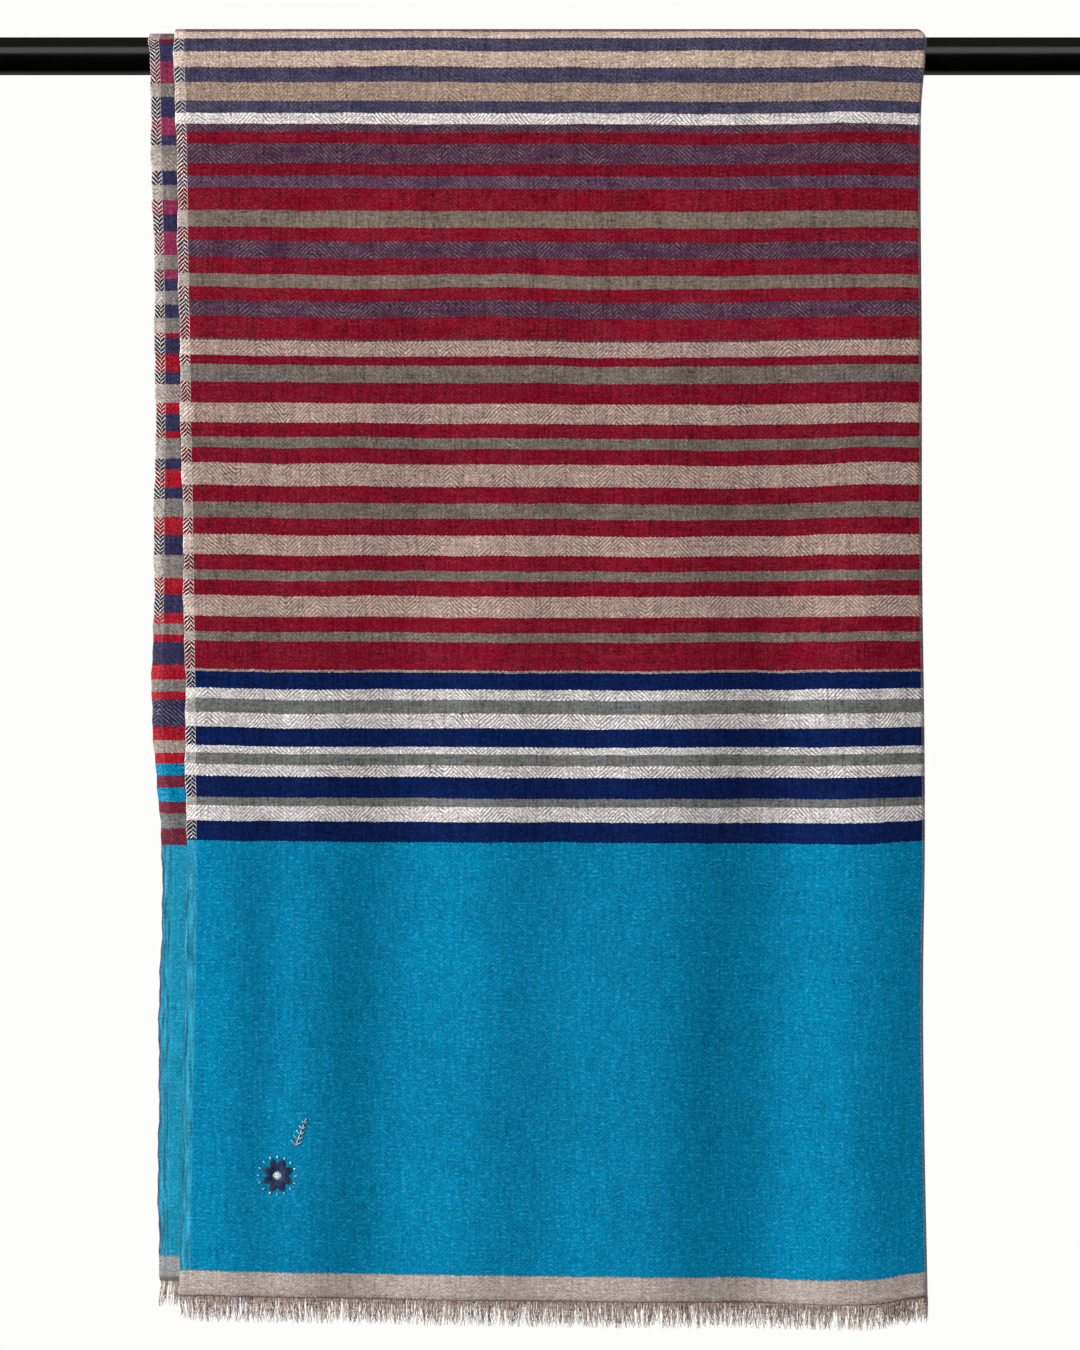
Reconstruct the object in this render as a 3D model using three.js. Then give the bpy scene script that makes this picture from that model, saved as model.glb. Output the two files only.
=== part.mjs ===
// A striped pashmina shawl, folded in half along its length and hung over a round black rail.
// Millimetres, +Z up. The origin is the middle of the rail's axis. The shawl's front faces -Y,
// its two selvedges hang on the left (-X) and its lengthwise fold on the right (+X).
//
// The cloth is one woven length. A section across it is a hairpin: the outer layer runs from the
// outer selvedge to the fold, turns round it and comes back behind as the inner layer, which
// reaches further left, so that a strip of it shows beside the outer selvedge. That hairpin is
// carried up the front drop, over the rail and down the back drop. Each stretch is one wall.

import * as THREE from "three";

const RAIL = { radius: 14.6, halfLength: 460, chamfer: 1.2, sides: 56 };

// The cloth's wall, the middle of each layer over the rail, and the gap left at a seam.
const CLOTH = { wall: 1.5, innerLayer: 16.2, outerLayer: 20.05, seam: 0.3 };
// The inner layer copies this share of the outer layer's ridges and troughs.
const INNER_FOLLOWS = 0.9;
// The turn at the fold is a little longer across than it is deep, and swells below the rail.
const TURN = { stretch: 1.25, swell: 2.4, swellReach: 32, swellFrom: 25, swellFull: 140 };

// Steps of the grid: along each layer, round the turn, down a drop and over the rail.
const STEPS = { outer: 30, turn: 6, inner: 29, drop: 15, overRail: 10 };

// Fringe: the strip that holds the strands, and the strands' number and size. Each step of the
// grid along a layer has two strands, so that the strip turns where the cloth's wall does.
const STRIP = { height: 4, wall: 1.1 };
const STRANDS = { outer: 60, turn: 3, inner: 58, length: 19, tipShare: 0.3, tipWall: 0.5 };

// The two drops, each as the depth of its hem below the rail's axis and which way it faces.
const FRONT = { hem: 960, side: -1 };
const BACK = { hem: 946, side: 1 };

// Where the selvedges and the fold lie across the rail's length, by depth below its axis.
const FRONT_EDGES = [
  { depth: 0, outerEdge: -281.5, innerEdge: -300.5, fold: 296 },
  { depth: 45, outerEdge: -280, innerEdge: -299.5, fold: 292.6 },
  { depth: 230, outerEdge: -277, innerEdge: -296, fold: 293.3 },
  { depth: 400, outerEdge: -274, innerEdge: -297, fold: 293.6 },
  { depth: 530, outerEdge: -272.5, innerEdge: -297.8, fold: 295.3 },
  { depth: 620, outerEdge: -271.8, innerEdge: -290.6, fold: 295.5 },
  { depth: 720, outerEdge: -272.6, innerEdge: -292.4, fold: 294.2 },
  { depth: 830, outerEdge: -275, innerEdge: -293.6, fold: 295.2 },
  { depth: 960, outerEdge: -277, innerEdge: -293.2, fold: 297.8 },
];
const BACK_EDGES = [
  { depth: 0, outerEdge: -281.5, innerEdge: -300.5, fold: 296 },
  { depth: 60, outerEdge: -282, innerEdge: -299, fold: 293.4 },
  { depth: 260, outerEdge: -280, innerEdge: -297.5, fold: 294 },
  { depth: 480, outerEdge: -277, innerEdge: -298.5, fold: 295 },
  { depth: 700, outerEdge: -279, innerEdge: -295, fold: 293.6 },
  { depth: 946, outerEdge: -281, innerEdge: -297, fold: 296.5 },
];
// The same over the rail, by the angle round it from the front.
const TOP_EDGES = [
  { depth: 0, outerEdge: -281.5, innerEdge: -300.5, fold: 296 },
  { depth: Math.PI / 4, outerEdge: -281.8, innerEdge: -301, fold: 296.8 },
  { depth: Math.PI / 2, outerEdge: -281, innerEdge: -299, fold: 291.5 },
  { depth: (3 * Math.PI) / 4, outerEdge: -281.8, innerEdge: -301, fold: 296.8 },
  { depth: Math.PI, outerEdge: -281.5, innerEdge: -300.5, fold: 296 },
];

// Soft ridges (height above 0) and troughs (below 0) that run down each drop. Each starts at one
// depth, is full at another, and drifts sideways by lean millimetres for each millimetre down.
const FRONT_FOLDS = [
  { x: -236, width: 38, height: 3.6, from: 240, full: 760, lean: 0 },
  { x: -170, width: 52, height: 4, from: 260, full: 760, lean: -0.05 },
  { x: -104, width: 84, height: -4.2, from: 160, full: 600, lean: -0.04 },
  { x: -36, width: 76, height: 4.8, from: 140, full: 600, lean: -0.06 },
  { x: 104, width: 118, height: 8.4, from: 120, full: 620, lean: -0.04 },
  { x: 172, width: 82, height: -6, from: 160, full: 600, lean: -0.03 },
  { x: 248, width: 76, height: 7.2, from: 140, full: 620, lean: -0.02 },
];
const BACK_FOLDS = [
  { x: -210, width: 96, height: 4.2, from: 260, full: 700, lean: 0.03 },
  { x: -118, width: 88, height: -3.2, from: 340, full: 660, lean: 0.02 },
  { x: -8, width: 120, height: 6.4, from: 280, full: 680, lean: 0.06 },
  { x: 92, width: 86, height: -3.6, from: 320, full: 620, lean: 0.05 },
  { x: 196, width: 108, height: 5.2, from: 300, full: 720, lean: -0.03 },
];

// How far the weft is lifted at the hem and just under the rail, along the hairpin: 0 to 1 is the
// outer layer, 1 to 2 the turn and 2 to 3 the inner layer, because the fold lies a little askew.
const LIFT = [
  { at: 0, underRail: 0, atHem: 6 },
  { at: 0.45, underRail: -0.3, atHem: 1.8 },
  { at: 0.75, underRail: -1, atHem: 0.6 },
  { at: 0.93, underRail: 0.6, atHem: -1 },
  { at: 1, underRail: -1.4, atHem: 4.4 },
  { at: 2, underRail: -1.4, atHem: 5.4 },
  { at: 2.1, underRail: 0, atHem: 10 },
  { at: 3, underRail: 0, atHem: 17.5 },
];
const LIFT_DEPTH = { fadesBy: 260, startsAt: 240 };

const COLOURS = { rail: 0x0c0c0d, cloth: 0x0a83ad, fringe: 0x978880 };

// Number helpers

const mix = (a, b, share) => a + (b - a) * share;
const clamp01 = (value) => Math.min(1, Math.max(0, value));
const ease = (value) => {
  const t = clamp01(value);
  return t * t * (3 - 2 * t);
};

// A column of a table at a place along its key, on a smooth curve through the rows.
function read(rows, key, column, at) {
  const last = rows.length - 1;
  let i = 0;
  while (i < last - 1 && at > rows[i + 1][key]) i += 1;
  const slope = (k) => {
    const low = rows[Math.max(0, k - 1)];
    const high = rows[Math.min(last, k + 1)];
    return (high[column] - low[column]) / (high[key] - low[key]);
  };
  const [a, b] = [rows[i], rows[i + 1]];
  const span = b[key] - a[key];
  const t = clamp01((at - a[key]) / span);
  const t2 = t * t;
  const t3 = t2 * t;
  return (
    (2 * t3 - 3 * t2 + 1) * a[column] +
    (t3 - 2 * t2 + t) * span * slope(i) +
    (3 * t2 - 2 * t3) * b[column] +
    (t3 - t2) * span * slope(i + 1)
  );
}

// The ridges and troughs together, as a distance out from the flat drop: each is one cosine bell.
function relief(folds, x, depth) {
  return folds.reduce((sum, fold) => {
    const off = x - (fold.x + fold.lean * (depth - fold.full));
    if (Math.abs(off) >= fold.width) return sum;
    const bell = 0.5 + 0.5 * Math.cos((Math.PI * off) / fold.width);
    return sum + fold.height * bell * ease((depth - fold.from) / (fold.full - fold.from));
  }, 0);
}

// The middle of the cloth in a section: its place across (x) and its distance out from the rail's
// axis (out), at q along the hairpin. A section gives its edges, folds and depth.
function hairpin(section, q) {
  const { edges, folds, depth } = section;
  const swell = TURN.swell * ease((depth - TURN.swellFrom) / (TURN.swellFull - TURN.swellFrom));
  const layerGap = CLOTH.outerLayer - CLOTH.innerLayer;
  const outerAt = (x) => CLOTH.outerLayer + relief(folds, x, depth);
  const innerAt = (x) => {
    const near = Math.exp(-(((edges.fold - x) / TURN.swellReach) ** 2));
    return CLOTH.outerLayer - layerGap - swell * near + INNER_FOLLOWS * relief(folds, x, depth);
  };
  const halfTurn = (outerAt(edges.fold) - innerAt(edges.fold)) / 2;
  const turnStart = edges.fold - halfTurn * TURN.stretch;
  if (q <= 1) {
    const x = mix(edges.outerEdge, turnStart, q);
    return { x, out: outerAt(x) };
  }
  if (q >= 2) {
    const x = mix(turnStart, edges.innerEdge, q - 2);
    return { x, out: innerAt(x) };
  }
  const angle = Math.PI * (0.5 - (q - 1));
  const middle = (outerAt(turnStart) + innerAt(turnStart)) / 2;
  const depthOfTurn = (outerAt(turnStart) - innerAt(turnStart)) / 2;
  return {
    x: turnStart + halfTurn * TURN.stretch * Math.cos(angle),
    out: middle + depthOfTurn * Math.sin(angle),
  };
}

// The same point moved off the cloth's middle by a distance, square to the hairpin.
function offset(section, q, distance) {
  const step = 0.004;
  const a = hairpin(section, Math.max(0, q - step));
  const b = hairpin(section, Math.min(3, q + step));
  const length = Math.hypot(b.x - a.x, b.out - a.out);
  const point = hairpin(section, q);
  return {
    x: point.x - ((b.out - a.out) / length) * distance,
    out: point.out + ((b.x - a.x) / length) * distance,
  };
}

// A point of a drop, at a depth below the rail's axis.
function onDrop(drop, edgeTable, folds, q, depth, distance) {
  const edges = Object.fromEntries(
    ["outerEdge", "innerEdge", "fold"].map((name) => [name, read(edgeTable, "depth", name, depth)]),
  );
  const { x, out } = offset({ edges, folds, depth }, q, distance);
  const underRail = read(LIFT, "at", "underRail", q) * (1 - ease(depth / LIFT_DEPTH.fadesBy)) * ease(depth / 12);
  const hemShare = ease((depth - LIFT_DEPTH.startsAt) / (drop.hem - LIFT_DEPTH.startsAt));
  const lift = underRail + read(LIFT, "at", "atHem", q) * hemShare;
  return new THREE.Vector3(x, drop.side * out, lift - depth);
}

// A point over the rail, at an angle round it from the front.
function onRail(q, angle, distance) {
  const edges = Object.fromEntries(
    ["outerEdge", "innerEdge", "fold"].map((name) => [name, read(TOP_EDGES, "depth", name, angle)]),
  );
  const { x, out } = offset({ edges, folds: [], depth: 0 }, q, distance);
  return new THREE.Vector3(x, -out * Math.cos(angle), out * Math.sin(angle));
}

// Meshes

// A geometry from points and faces, turned round if its faces point inwards.
function closed(points, faces) {
  let volume = 0;
  for (const [a, b, c] of faces) {
    volume += points[a].dot(new THREE.Vector3().crossVectors(points[b], points[c]));
  }
  const index = volume > 0 ? faces.flat() : faces.flatMap(([a, b, c]) => [a, c, b]);
  const geometry = new THREE.BufferGeometry().setFromPoints(points);
  geometry.setIndex(index);
  return geometry;
}

// Two triangles for the face a, b, c, d.
const quad = (a, b, c, d) => [
  [a, b, c],
  [a, c, d],
];

// A wall between an outer and an inner grid of points, closed round its four sides.
function wall(columns, rows, pointAt) {
  const points = [];
  const faces = [];
  for (const face of [0, 1]) {
    for (const row of rows) for (const column of columns) points.push(pointAt(column, row, face));
  }
  const [m, n] = [columns.length, rows.length];
  const at = (i, j, face) => (face * n + j) * m + i;
  for (let j = 0; j < n - 1; j += 1) {
    for (let i = 0; i < m - 1; i += 1) {
      faces.push(...quad(at(i, j, 0), at(i + 1, j, 0), at(i + 1, j + 1, 0), at(i, j + 1, 0)));
      faces.push(...quad(at(i, j, 1), at(i, j + 1, 1), at(i + 1, j + 1, 1), at(i + 1, j, 1)));
    }
  }
  for (let i = 0; i < m - 1; i += 1) {
    faces.push(...quad(at(i, 0, 0), at(i, 0, 1), at(i + 1, 0, 1), at(i + 1, 0, 0)));
    faces.push(...quad(at(i, n - 1, 0), at(i + 1, n - 1, 0), at(i + 1, n - 1, 1), at(i, n - 1, 1)));
  }
  for (let j = 0; j < n - 1; j += 1) {
    faces.push(...quad(at(0, j, 0), at(0, j + 1, 0), at(0, j + 1, 1), at(0, j, 1)));
    faces.push(...quad(at(m - 1, j, 0), at(m - 1, j, 1), at(m - 1, j + 1, 1), at(m - 1, j + 1, 0)));
  }
  return closed(points, faces);
}

// Evenly spaced numbers from first to last.
const spaced = (first, last, steps) => Array.from({ length: steps + 1 }, (_, i) => mix(first, last, i / steps));

// The places along the hairpin where the grid has a column.
const COLUMNS = [
  ...spaced(0, 1, STEPS.outer),
  ...spaced(1, 2, STEPS.turn).slice(1, -1),
  ...spaced(2, 3, STEPS.inner),
];

function named(name, geometry, colour, roughness, metalness) {
  const mesh = new THREE.Mesh(geometry, new THREE.MeshStandardMaterial({ color: colour, roughness, metalness }));
  mesh.name = name;
  return mesh;
}

// Pieces

function rail() {
  const { radius, halfLength, chamfer, sides } = RAIL;
  const profile = [
    [0, -halfLength],
    [radius - chamfer, -halfLength],
    [radius, chamfer - halfLength],
    [radius, halfLength - chamfer],
    [radius - chamfer, halfLength],
    [0, halfLength],
  ].map(([across, along]) => new THREE.Vector2(across, along));
  const mesh = named("rail", new THREE.LatheGeometry(profile, sides), COLOURS.rail, 0.3, 0);
  mesh.rotation.z = -Math.PI / 2;
  return mesh;
}

function dropWall(name, drop, edgeTable, folds) {
  const side = (face) => (face ? -0.5 : 0.5) * CLOTH.wall;
  const rows = spaced(CLOTH.seam, drop.hem - STRIP.height - CLOTH.seam, STEPS.drop);
  const geometry = wall(COLUMNS, rows, (q, depth, face) => onDrop(drop, edgeTable, folds, q, depth, side(face)));
  return named(name, geometry, COLOURS.cloth, 0.85, 0);
}

function overRail() {
  const side = (face) => (face ? -0.5 : 0.5) * CLOTH.wall;
  const geometry = wall(COLUMNS, spaced(0, Math.PI, STEPS.overRail), (q, angle, face) => onRail(q, angle, side(face)));
  return named("scarf_over_rail", geometry, COLOURS.cloth, 0.85, 0);
}

// The strands' roots along the hairpin, each from one place to the next.
function strandRoots() {
  return [STRANDS.outer, STRANDS.turn, STRANDS.inner].flatMap((count, run) =>
    Array.from({ length: count }, (_, i) => [run + i / count, run + (i + 1) / count]),
  );
}

// The unwoven warp ends below a hem: a narrow strip of the end band with tapered, four-sided
// strands below it, root to root, unequal in length and lean.
function fringe(name, drop, edgeTable, folds) {
  const points = [];
  const faces = [];
  // A point on the straight step between two columns of the cloth's wall.
  const add = (q, depth, distance) => {
    const place = Math.min(3, Math.max(0, q));
    const next = Math.max(1, COLUMNS.findIndex((column) => column >= place - 1e-9));
    const [a, b] = [COLUMNS[next - 1], COLUMNS[next]];
    const [from, to] = [a, b].map((column) => onDrop(drop, edgeTable, folds, column, depth, distance));
    return points.push(from.lerp(to, (place - a) / (b - a))) - 1;
  };
  // One upright edge of the strip: its outer and inner corner at the top, then at the root.
  const edge = (q) =>
    [drop.hem - STRIP.height, drop.hem].map((depth) =>
      [0.5, -0.5].map((share) => add(q, depth, share * STRIP.wall)),
    );
  let left = edge(0);
  faces.push(...quad(left[0][0], left[1][0], left[1][1], left[0][1]));
  strandRoots().forEach(([from, to], i) => {
    const right = edge(to);
    const [[topL, topR], [rootL, rootR]] = [0, 1].map((row) => [left[row], right[row]]);
    faces.push(...quad(topL[0], topR[0], rootR[0], rootL[0]));
    faces.push(...quad(topL[1], rootL[1], rootR[1], topR[1]));
    faces.push(...quad(topL[0], topL[1], topR[1], topR[0]));
    const middle = (from + to) / 2 + 0.2 * (to - from) * Math.sin(i * 2.3);
    const tipDepth = drop.hem + STRANDS.length * (0.86 + 0.14 * Math.sin(i * 1.7));
    const [tipL, tipR] = [-0.5, 0.5].map((way) =>
      [0.5, -0.5].map((share) =>
        add(middle + way * STRANDS.tipShare * (to - from), tipDepth, share * STRANDS.tipWall + 0.6 * Math.sin(i * 1.1)),
      ),
    );
    faces.push(...quad(rootL[0], rootR[0], tipR[0], tipL[0]));
    faces.push(...quad(rootL[1], tipL[1], tipR[1], rootR[1]));
    faces.push(...quad(rootL[0], tipL[0], tipL[1], rootL[1]));
    faces.push(...quad(rootR[0], rootR[1], tipR[1], tipR[0]));
    faces.push(...quad(tipL[0], tipR[0], tipR[1], tipL[1]));
    left = right;
  });
  faces.push(...quad(left[0][0], left[0][1], left[1][1], left[1][0]));
  return named(name, closed(points, faces), COLOURS.fringe, 0.9, 0);
}

const scarf = new THREE.Group();
scarf.add(
  rail(),
  dropWall("scarf_front_drop", FRONT, FRONT_EDGES, FRONT_FOLDS),
  overRail(),
  dropWall("scarf_back_drop", BACK, BACK_EDGES, BACK_FOLDS),
  fringe("fringe_front", FRONT, FRONT_EDGES, FRONT_FOLDS),
  fringe("fringe_back", BACK, BACK_EDGES, BACK_FOLDS),
);

export default scarf;
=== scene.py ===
"""A striped pashmina shawl, folded in half along its length and hung over a round black rail.

Lengths in the tables are millimetres. The cloth is described in its own flat measure: across is the
distance from its outer selvedge to its inner one, and along is the distance from the crest of the
rail, above 0 down the front and below 0 down the back.
"""

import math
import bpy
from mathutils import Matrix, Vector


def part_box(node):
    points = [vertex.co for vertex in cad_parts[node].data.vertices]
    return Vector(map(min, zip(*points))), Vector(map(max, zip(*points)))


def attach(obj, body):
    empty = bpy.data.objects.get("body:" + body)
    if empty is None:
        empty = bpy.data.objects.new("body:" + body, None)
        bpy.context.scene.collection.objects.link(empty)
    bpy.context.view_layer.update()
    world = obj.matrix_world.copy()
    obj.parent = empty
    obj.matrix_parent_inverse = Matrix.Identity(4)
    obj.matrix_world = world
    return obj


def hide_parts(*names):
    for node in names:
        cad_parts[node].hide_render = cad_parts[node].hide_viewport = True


bl_info = {
    "name": "Shawl on a Rail",
    "version": (1, 0, 0),
    "blender": (4, 5, 0),
    "location": "3D View > Sidebar > Shawl",
    "description": "Weaves a striped shawl and hangs it over a black rail",
    "category": "Object",
}

import bpy
import numpy as np
from mathutils import Vector

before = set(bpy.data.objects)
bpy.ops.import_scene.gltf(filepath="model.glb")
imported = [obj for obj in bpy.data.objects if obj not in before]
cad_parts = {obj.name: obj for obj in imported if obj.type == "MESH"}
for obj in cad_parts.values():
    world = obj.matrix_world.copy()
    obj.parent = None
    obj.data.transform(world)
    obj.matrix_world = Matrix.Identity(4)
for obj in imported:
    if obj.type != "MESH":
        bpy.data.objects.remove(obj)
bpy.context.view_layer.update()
MM = 0.001


# Tables


def columns(names, rows):
    """A table as one array for each named column."""
    return {name: np.array(values, float) for name, values in zip(names.split(), zip(*rows))}


# The middle of each layer of cloth over the rail, and the hems' depths below the rail's axis.
OUTER_LAYER = 20.05
INNER_LAYER = 16.6
# How much higher than round the cloth stands over the crest.
CROWN = 0.6
FRONT_HEM = 960
BACK_HEM = 946
# Cloth from the crest of the rail down to the level of its axis.
CREST_ARC = OUTER_LAYER * math.pi / 2
# The turn at the lengthwise fold: longer across than deep, and swollen below the rail.
TURN = {"stretch": 1.25, "swell": 2.4, "reach": 32, "from": 25, "full": 140}
INNER_FOLLOWS = 0.9

# Where the selvedges and the fold lie along the rail, by depth below its axis. Above it is negative.
FRONT_EDGES = columns(
    "depth outer inner fold",
    [
        (-31.49, -281, -299, 291.5),
        (-15.75, -281.8, -301, 296.8),
        (0, -281.5, -300.5, 296),
        (45, -280, -299.5, 292.6),
        (230, -277, -296, 293.3),
        (400, -274, -297, 293.6),
        (530, -272.5, -297.8, 295.3),
        (620, -271.8, -290.6, 295.5),
        (720, -272.6, -292.4, 294.2),
        (830, -275, -293.6, 295.2),
        (960, -277, -293.2, 297.8),
    ],
)
BACK_EDGES = columns(
    "depth outer inner fold",
    [
        (-31.49, -281, -299, 291.5),
        (-15.75, -281.8, -301, 296.8),
        (0, -281.5, -300.5, 296),
        (60, -280, -298, 293.4),
        (260, -278, -295, 294),
        (480, -275, -294.5, 295),
        (700, -274, -289.5, 293.6),
        (946, -277, -291, 296.5),
    ],
)

# Soft ridges and troughs that run down each drop. start and full are depths, lean is the drift
# sideways for each millimetre down.
FRONT_FOLDS = columns(
    "x width height start full lean",
    [
        (-236, 38, 3.6, 240, 760, 0),
        (-170, 52, 4.0, 260, 760, -0.05),
        (-104, 84, -4.2, 160, 600, -0.04),
        (-36, 76, 4.8, 140, 600, -0.06),
        (104, 118, 8.4, 120, 620, -0.04),
        (172, 82, -6.0, 160, 600, -0.03),
        (248, 76, 7.2, 140, 620, -0.02),
    ],
)
BACK_FOLDS = columns(
    "x width height start full lean",
    [
        (-210, 96, 4.2, 260, 700, 0.03),
        (-118, 88, -3.2, 340, 660, 0.02),
        (-8, 120, 6.4, 280, 680, 0.06),
        (92, 86, -3.6, 320, 620, 0.05),
        (196, 108, 5.2, 300, 720, -0.03),
    ],
)

# Shorter creases over those: x and depth of the middle, half width, half length, height, and the
# drift sideways for each millimetre down.
FRONT_CREASES = columns(
    "x depth width length height lean",
    [
        (-244, 560, 22, 190, 0.5, 0.03),
        (-206, 800, 24, 170, -0.7, -0.02),
        (-150, 880, 30, 120, 0.6, 0.05),
        (-66, 760, 26, 210, -0.6, 0.01),
        (-12, 905, 34, 110, 0.7, -0.04),
        (38, 640, 28, 220, 0.6, -0.03),
        (66, 860, 26, 150, -0.6, -0.06),
        (142, 730, 22, 240, -0.9, -0.08),
        (206, 560, 26, 200, 0.6, -0.04),
        (222, 850, 20, 150, -0.6, 0.02),
        (272, 700, 18, 230, 0.7, 0.01),
        (-190, 250, 44, 150, 0.4, 0.06),
        (60, 210, 50, 130, -0.4, -0.05),
        (206, 180, 40, 120, 0.4, 0.04),
    ],
)
BACK_CREASES = columns(
    "x depth width length height lean",
    [
        (-252, 620, 24, 200, 0.6, 0.02),
        (-160, 820, 28, 160, -0.6, 0.04),
        (-60, 700, 26, 210, 0.6, 0.01),
        (30, 860, 30, 130, -0.6, -0.04),
        (140, 640, 26, 220, 0.7, -0.03),
        (240, 790, 22, 190, -0.7, 0.02),
        (-120, 230, 46, 140, 0.4, -0.05),
        (150, 210, 42, 130, -0.4, 0.05),
    ],
)

# How far the weft is lifted just under the rail and at the hem: place 0 to 1 is the outer layer,
# 1 to 2 the turn and 2 to 3 the inner layer.
LIFT = columns(
    "place under_rail hem",
    [
        (0, 0, 6),
        (0.45, -0.3, 1.8),
        (0.75, -1, 0.6),
        (0.93, 0.6, -1),
        (1, -1.4, 4.4),
        (2, -1.4, 5.4),
        (2.1, 0, 10),
        (3, 0, 17.5),
    ],
)
# Slow waves of the weft between those, centred a quarter and half of the way down.
SAG = columns(
    "place middle low",
    [
        (0, 1.1, 0.2),
        (0.17, 0.1, -0.5),
        (0.33, -0.6, -0.5),
        (0.49, -0.5, 0.3),
        (0.65, -1.7, -0.6),
        (0.81, -0.8, 0.7),
        (0.94, 0.9, 1.0),
        (1, 0.5, 0.6),
        (2, 0, 0),
        (3, 0, 0),
    ],
)
SAG_DEPTHS = {"middle": 260, "low": 520}
# The depth over which the lift under the rail comes in, the one over which it fades, which is also
# half the length of a slow wave, and the one where the lift towards the hem starts.
LIFT_SETTLES = 12
LIFT_FADES = 260
LIFT_STARTS = 240
# The waves in the selvedges, as height, length for each radian and starting angle, and how far in
# from each selvedge they reach.
RAGGED_WAVES = ((0.3, 2.9, 1), (0.35, 7.3, 0), (0.5, 21, 2))
RAGGED_REACH = 9

# The stripes from the crest down, as yarn and width. The face is the cloth's outside, the reverse
# its inside.
FACE_DRAFT = [
    ("mauve", 9.4), ("lit_beige", 8), ("slate", 10.9), ("beige", 12), ("slate", 12), ("tan", 14.2),
    ("slate", 9.3), ("ivory", 8.6), ("plum", 6.5), ("wine", 8.5), ("plum", 15.7), ("wine", 9.2),
    ("heather", 9.6), ("crimson", 17.3), ("stone", 12.7), ("crimson", 10.4), ("plum", 12.9),
    ("crimson", 12.8), ("stone", 10.3), ("crimson", 10), ("plum", 12.7), ("crimson", 16.3),
    ("plum", 1.8), ("sand", 11.6), ("wine", 7.2), ("pewter", 13.2), ("wine", 15.9), ("sand", 15.6),
    ("wine", 10.9), ("pewter", 8.2), ("wine", 11.9), ("sand", 17.1), ("wine", 12.9), ("pewter", 12.2),
    ("wine", 13.3), ("sand", 15), ("wine", 12.1), ("pewter", 7.6), ("wine", 12), ("sand", 15.8),
    ("wine", 12), ("pewter", 7.6), ("wine", 21.3), ("putty", 2), ("navy", 13.1), ("chalk", 7.9),
    ("sage", 10.7), ("chalk", 11.3), ("navy", 14.5), ("chalk", 5.7), ("sage", 9), ("chalk", 9),
    ("navy", 16.3), ("sage", 6.7), ("chalk", 11.7), ("navy", 15.9), ("teal", 333.8), ("hemp", 18.2),
    ("bark", 20),
]
REVERSE_DRAFT = [
    ("mauve", 15.2), ("maroon", 4.6), ("indigo", 15.6), ("magenta", 17.4), ("ash", 10.4),
    ("indigo", 15.8), ("magenta", 13.8), ("indigo", 7.6), ("ash", 8.2), ("putty", 11.8),
    ("indigo", 11.2), ("ash", 11.5), ("magenta", 11.5), ("indigo", 13.4), ("magenta", 17.5),
    ("ash", 11.2), ("magenta", 7.3), ("indigo", 9.2), ("ash", 10.7), ("indigo", 10.3), ("ash", 11.5),
    ("scarlet", 3.6), ("indigo", 12.7), ("scarlet", 13.1), ("indigo", 9.5), ("putty", 14.2),
    ("scarlet", 8.7), ("indigo", 13.2), ("scarlet", 5.1), ("ash", 15.9), ("indigo", 8.3),
    ("scarlet", 13.8), ("indigo", 9.2), ("ash", 14.4), ("scarlet", 14.2), ("indigo", 16.3),
    ("ash", 18.3), ("scarlet", 12.8), ("indigo", 14.5), ("scarlet", 8.5), ("ash", 8.8),
    ("scarlet", 6.2), ("indigo", 17.7), ("scarlet", 11.6), ("ash", 9.7), ("scarlet", 6.4),
    ("iris", 20.7), ("scarlet", 10.9), ("putty", 9.8), ("scarlet", 8.6), ("teal", 9.2), ("maroon", 9.8),
    ("teal", 11.3), ("maroon", 9), ("sage", 12.2), ("maroon", 13.8), ("lagoon", 324), ("mist", 16),
    ("ash", 20),
]
# How strongly the warp shows between the floats of each yarn: a dark warp above 0, a pale one below.
WARP_SHOWS = {
    "mauve": -0.1, "lit_beige": 0.03, "slate": -0.15, "beige": 0.04, "tan": 0.12, "ivory": 0.3,
    "plum": -0.22, "wine": -0.04, "heather": -0.2, "crimson": -0.05, "stone": -0.2, "sand": 0.44,
    "pewter": -0.3, "putty": 0.04, "navy": -0.01, "chalk": 0.4, "sage": -0.16, "teal": 0, "hemp": 0.12,
    "bark": 0.12, "maroon": -0.06, "indigo": -0.06, "magenta": -0.06, "ash": -0.12, "scarlet": -0.06,
    "iris": -0.25, "lagoon": 0, "mist": 0.1,
}
# Where the teal and the plain band at the hem start on the face, from the crest down.
TEAL_STARTS = 637
BAND_STARTS = 972.1


# Sizes and colours


def linear(code):
    """A screen colour such as 8c1322 as the linear red, green and blue that a shader takes."""
    parts = [int(code[i : i + 2], 16) / 255 for i in (0, 2, 4)]
    return [part / 12.92 if part <= 0.04045 else ((part + 0.055) / 1.055) ** 2.4 for part in parts]


def colour_prop(name, code, description):
    return bpy.props.FloatVectorProperty(
        name=name, description=description, subtype="COLOR", size=3, min=0, max=1, default=linear(code)
    )


def length_prop(name, default, description):
    return bpy.props.FloatProperty(
        name=name, description=description, default=default, min=0, subtype="DISTANCE", unit="LENGTH"
    )


def power_prop(name, default, description):
    return bpy.props.FloatProperty(
        name=name, description=description, default=default, min=0, unit="POWER"
    )


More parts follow.
